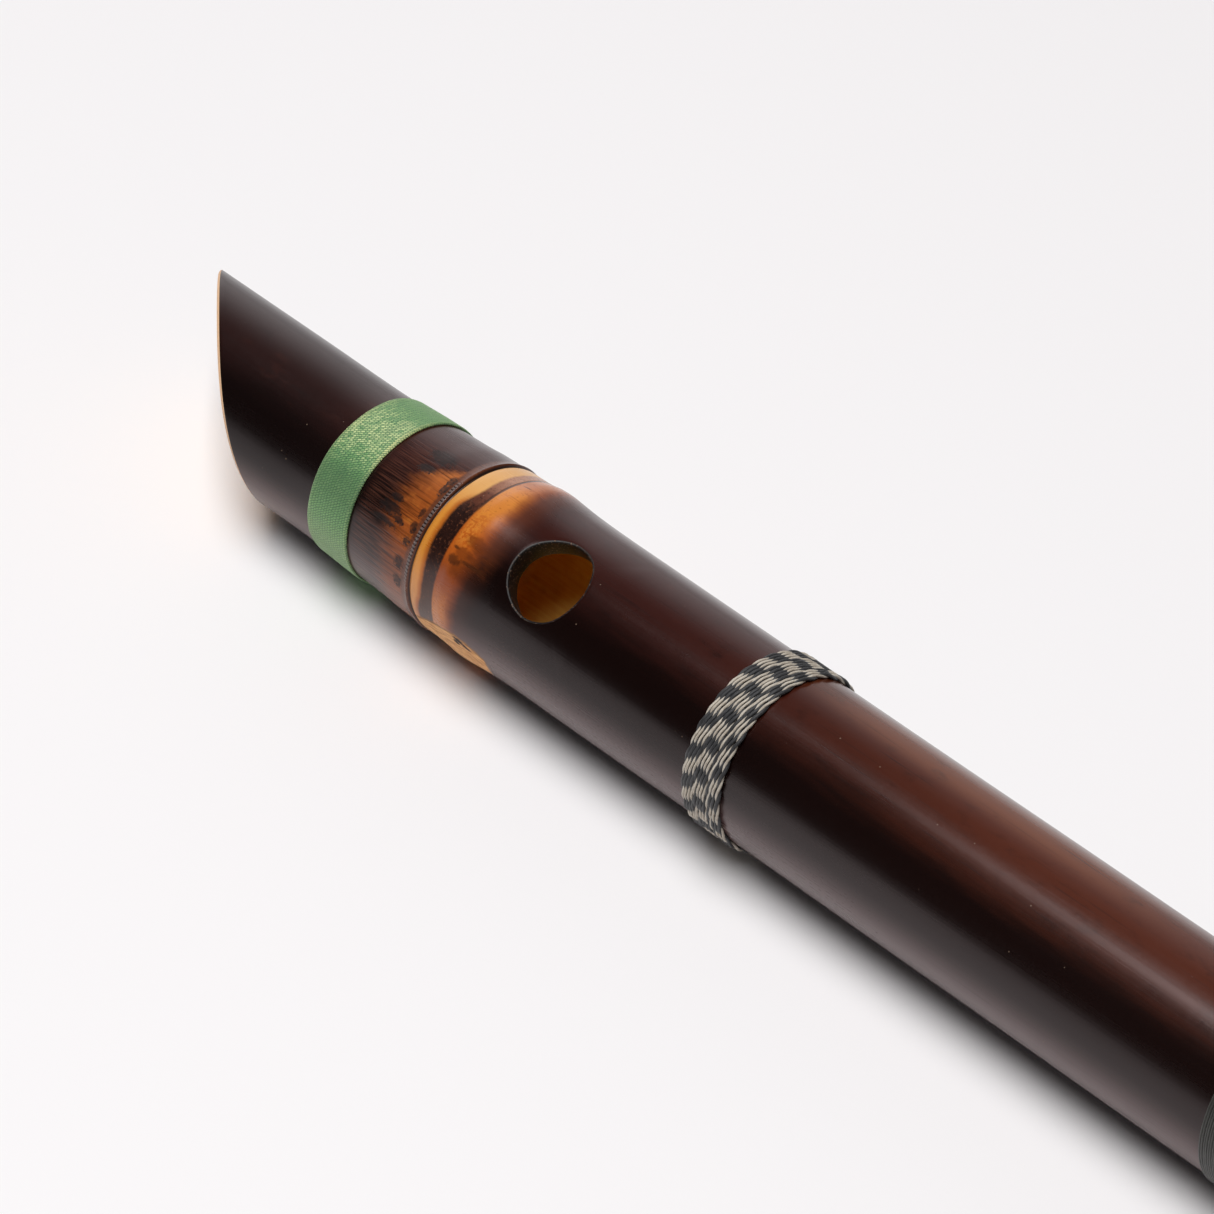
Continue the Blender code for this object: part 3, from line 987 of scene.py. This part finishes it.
def trimmed_bud(g, p):
    """Raw torn fibre with a dark crack: its colour, where it is, and its relief."""
    aside = g.math("ABSOLUTE", p.bud_turn - SCAR_TURN)
    reach = g.ramp(g.math("ABSOLUTE", p.past - 8.4), 0, 11, 17, 3)
    scar = g.fall(aside + p.blots * 1.2 - reach, -1.2, 0.8)
    scar = scar * g.fall(g.math("ABSOLUTE", p.past - 7.4), 6.6, 7.2)
    torn = g.flute_noise(0.45, 2.4, 3, 0.65, shift=p.bud_turn * 0.1)
    raw = g.mix((0.9, 0.5, 0.2), (0.48, 0.195, 0.06), g.ramp(torn, -0.5, 0.6))
    raw = g.mix(raw, (0.085, 0.032, 0.016), g.ramp(torn + p.grain * 0.3, 0.55, 1, 0, 0.85))
    outline = g.window(aside - reach + p.blots * 0.8, -2.6, -1.4, 0.6, 1)
    raw = g.mix(raw, (0.1, 0.04, 0.018), outline * 0.6)
    crack = g.spots(p.past, p.bud_turn, p.blots * 0.3 + p.grain * 0.35 - 0.15, SCAR_CRACKS)
    raw = g.mix(raw, (0.01, 0.005, 0.004), crack)
    return raw, scar, p.blots * 0.03 - torn * 0.1 - crack * 0.15


def skin_material():
    """Scorched bamboo skin: dark brown all along, burnt in bands about each node."""
    material, g = new_material("bamboo_skin", Specular_Tint=(1, 0.86, 0.86, 1))
    p = SkinPlace(g)
    station, turn, past = p.station, p.turn, p.past
    plain = plain_skin(g, p)
    above, char, above_relief = above_groove(g, p, plain)
    below, band, line = below_groove(g, p, plain)
    centre = g.ramp(turn, 5, 30, 0.1, -0.06)
    colour = g.mix(above, below, g.ramp(past - centre, -0.05, 0.1))
    thick = g.ramp(turn, 5, 32, 0.2, 0.03)
    groove = g.fall(g.math("ABSOLUTE", past - centre) - thick, 0, 0.14)
    colour = g.mix(colour, (0.008, 0.004, 0.003), groove * 0.92)
    raw, scar, scar_relief = trimmed_bud(g, p)
    colour = g.mix(colour, raw, scar)
    dust = g.fall(g.cells(g.vector(station, g.across, g.up), 0.33), 0.015, 0.042)
    colour = g.mix(colour, (0.3, 0.21, 0.14), dust * 0.6)

    dull = g.window(past, 7, 9.5, 14, 22) * g.window(turn, -10, 5, 40, 60) * 0.2
    dull = dull + g.fall(station, -50, -36) * 0.12
    dull = dull + g.window(station, -14, 6, 22, 50) * 0.1
    g.put(g.shader.inputs["Specular IOR Level"], 0.5 - dull)
    burnt = g.largest(char * g.ramp(turn, -5, 12), groove)
    crust = band * g.ramp(past, 0, 0.3)
    rough = 0.2 + p.fibres * 0.03 + p.blots * 0.02
    rough = rough + g.window(turn, 44, 78, 100, 140) * 0.08
    rough = rough + g.fall(station, -26, -19) * 0.05 + g.ramp(station, 45, 110) * 0.05
    rough = rough + g.window(past, 7, 9, 13, 16) * 0.06
    rough = rough + burnt * 0.15 + scar * 0.35 + crust * 0.06 + dust * 0.3
    height = p.fibres * 0.003 + p.blots * 0.002 + p.grain * crust * 0.004
    height = height + above_relief - line * 0.02 + scar * scar_relief
    g.shade(colour, rough, height)
    return material


def wall_material():
    """The charred, sealed edge and wall of a hole."""
    material, g = new_material("charred_hole_wall", Specular_IOR_Level=0.4)
    g.flute_place()
    grain = g.flute_noise(1.2, 4)
    pores = g.ramp(g.flute_noise(3, 3.6, 1), 0.25, 0.55)
    colour = g.mix((0.005, 0.0038, 0.0036), (0.021, 0.012, 0.009), g.ramp(grain, -0.4, 0.9))
    colour = g.mix(colour, (0.3, 0.19, 0.13), pores * 0.6)
    g.shade(colour, 0.46 + grain * 0.05 + pores * 0.2, grain * 0.01 - pores * 0.03)
    return material


def bore_material():
    """The inside of the culm, amber under a thin coat of varnish."""
    material, g = new_material("bamboo_bore")
    g.flute_place()
    fibres = g.flute_noise(0.07, 2.4)
    patches = g.flute_noise(0.3, 0.3)
    colour = g.mix((0.78, 0.42, 0.075), (0.9, 0.56, 0.125), g.ramp(fibres + patches, -1, 1))
    colour = g.mix(colour, (0.46, 0.2, 0.03), g.ramp(patches, 0.2, 1.1, 0, 0.6))
    g.shade(colour, 0.42 + fibres * 0.05, fibres * 0.012)
    return material


def cut_material():
    """Sawn bamboo: pale, with the dark ends of fibre bundles, closer together near the skin."""
    material, g = new_material("bamboo_cut_face")
    station, _ = g.flute_place()
    radius = g.math("SQRT", g.across * g.across + g.up * g.up)
    out = g.ramp(radius, HOLLOW_R, 12.2)
    bundles = g.fall(g.cells(g.vector(station * 0.02, g.across, g.up), 2.3) - out * 0.1, 0.16, 0.36)
    grain = g.flute_noise(0.3, 3)
    clouds = g.flute_noise(0.2, 0.25, 1)
    colour = g.mix((0.66, 0.4, 0.19), (0.52, 0.26, 0.1), g.ramp(grain + clouds, -0.8, 1))
    colour = g.mix(colour, (0.24, 0.1, 0.035), bundles * (0.35 + out * 0.4))
    colour = g.mix(colour, (0.78, 0.5, 0.3), g.ramp(radius, 11.15, 11.5, 0, 0.9))
    g.shade(colour, 0.55 + grain * 0.06, grain * 0.012 - bundles * 0.02)
    return material


FLOAT_LEAN = math.radians(35)
FLOAT_PITCH = 0.33  # from row to row
FLOAT_LENGTH = 0.62


def ribbon_material():
    """Twilled ribbon: rows of short floats that rise to the right, with painted highlight and shade on
    the weave, a painted sheen on the upper side, painted shade below it and a painted reflection
    underneath.
    """
    material, g = new_material(
        "green_ribbon_weave", Sheen_Weight=0.3, Sheen_Roughness=0.5,
        Sheen_Tint=(0.75, 1, 0.55, 1), Specular_IOR_Level=0.6)
    station, turn = g.flute_place()
    sway = g.flute_noise(0.9, 0.9)
    fuzz = g.flute_noise(3.2, 3.2, 2, 0.6)
    patches = g.flute_noise(0.35, 0.3)
    arc = turn * (math.radians(1) * 12.3)
    row_place = arc * math.cos(FLOAT_LEAN) + station * math.sin(FLOAT_LEAN)
    row_place = (row_place + sway * 0.13 + fuzz * 0.03) / FLOAT_PITCH
    row = g.math("FLOOR", row_place)
    over = g.math("FRACT", row_place) - 0.5
    float_place = station * math.cos(FLOAT_LEAN) - arc * math.sin(FLOAT_LEAN)
    float_place = (float_place + sway * 0.2) / FLOAT_LENGTH + row * 0.37
    cell = g.math("FLOOR", float_place)
    inside = g.math("FRACT", float_place) - 0.5
    chance = g.node("ShaderNodeTexWhiteNoise", noise_dimensions="2D")
    g.put(chance.inputs["Vector"], g.vector(row, cell, 0))
    lucky = Value(g, chance.outputs["Value"])
    relief = (1 - over * over * 4) * (1 - inside * inside * 3.2)
    # Float tops painted lighter and the gaps between them darker: painted highlight and shade of the
    # weave.
    lit_float_tops = g.ramp(relief + fuzz * 0.3, 0, 0.85)
    colour = g.mix((0.036, 0.13, 0.05), (0.172, 0.37, 0.13), lit_float_tops)
    # A painted sheen on the upper side: it makes the pale flecks more and brighter there.
    painted_sheen = g.window(turn + patches * 9, -30, 10, 18, 52)
    pale = g.ramp(lucky * 0.55 + fuzz * 0.4 + painted_sheen * 0.4 + patches * 0.15, 0.26, 1)
    pale = pale * g.ramp(relief, 0.1, 0.75)
    colour = g.mix(colour, (0.7, 0.8, 0.37), pale * (painted_sheen * 0.68 + 0.22))
    at_foot = g.math("GREATER_THAN", station, 100)
    head_start, foot_start = (start for _, _, start in RIBBONS)
    side = station - head_start - RIBBON_WIDTH / 2 - at_foot * (foot_start - head_start)
    # The yellowish edges are the ribbon's own; the painted sheen makes them brighter on the upper side.
    selvedge = g.largest(g.ramp(side + fuzz * 0.1, 3.3, 3.7) * 0.6, g.fall(side, -3.5, -2.6) * 0.3)
    selvedge = selvedge * g.ramp(relief + fuzz * 0.3, 0.1, 0.7) * (painted_sheen * 0.8 + 0.2)
    colour = g.mix(colour, (0.66, 0.64, 0.26), selvedge)
    colour = g.mix(colour, (0.04, 0.14, 0.06), g.ramp(patches + sway * 0.3, 0.1, 1, 0, 0.45))
    # Painted shade: a darker band on the side below the sheen.
    colour = g.mix(colour, (0.035, 0.095, 0.035), g.window(turn, 32, 52, 58, 84) * 0.5)
    # Painted reflection of the floor: paler underneath.
    colour = g.mix(colour, (0.52, 0.6, 0.34), g.window(turn, 72, 100, 112, 135) * 0.16)
    g.shade(colour, 0.5 + lucky * 0.12, relief * 0.06 + fuzz * 0.012)
    return material


def strand_material(name, dark, pale, rough):
    """Spun fibre of one strand, its hairs running round the flute."""
    material, g = new_material(name, Sheen_Weight=0.15)
    station, turn = g.flute_place()
    hairs = g.noise(g.vector(station * 9, turn * 0.35, g.across * 0.5))
    tone = g.flute_noise(1.2, 0.6)
    colour = g.mix(dark, pale, g.ramp(hairs + tone, -1, 1))
    g.shade(colour, rough + hairs * 0.06, hairs * 0.015)
    return material


# ---- The flute ----
def main():
    add_camera()
    add_floor()
    add_studio()
    add_soft_box()
    build_culm([skin_material(), wall_material(), bore_material(), cut_material()])
    ribbon = ribbon_material()
    pale = strand_material("pale_strand", (0.4, 0.34, 0.27), (0.66, 0.6, 0.51), 0.62)
    dark = strand_material("dark_strand", (0.013, 0.013, 0.014), (0.034, 0.034, 0.037), 0.58)
    thread = strand_material("black_thread_fibre", (0.01, 0.01, 0.008), (0.03, 0.03, 0.024), 0.5)
    for name, node, start in RIBBONS:
        build_ribbon(name, node, start, ribbon)
    for name, node, start, phase in CORD_BANDS:
        build_cord_band(name, node, start, phase, [pale, dark])
    for name, node, start, width, seat in THREAD_BINDINGS:
        build_thread_binding(name, node, start, width, seat, thread)


main()
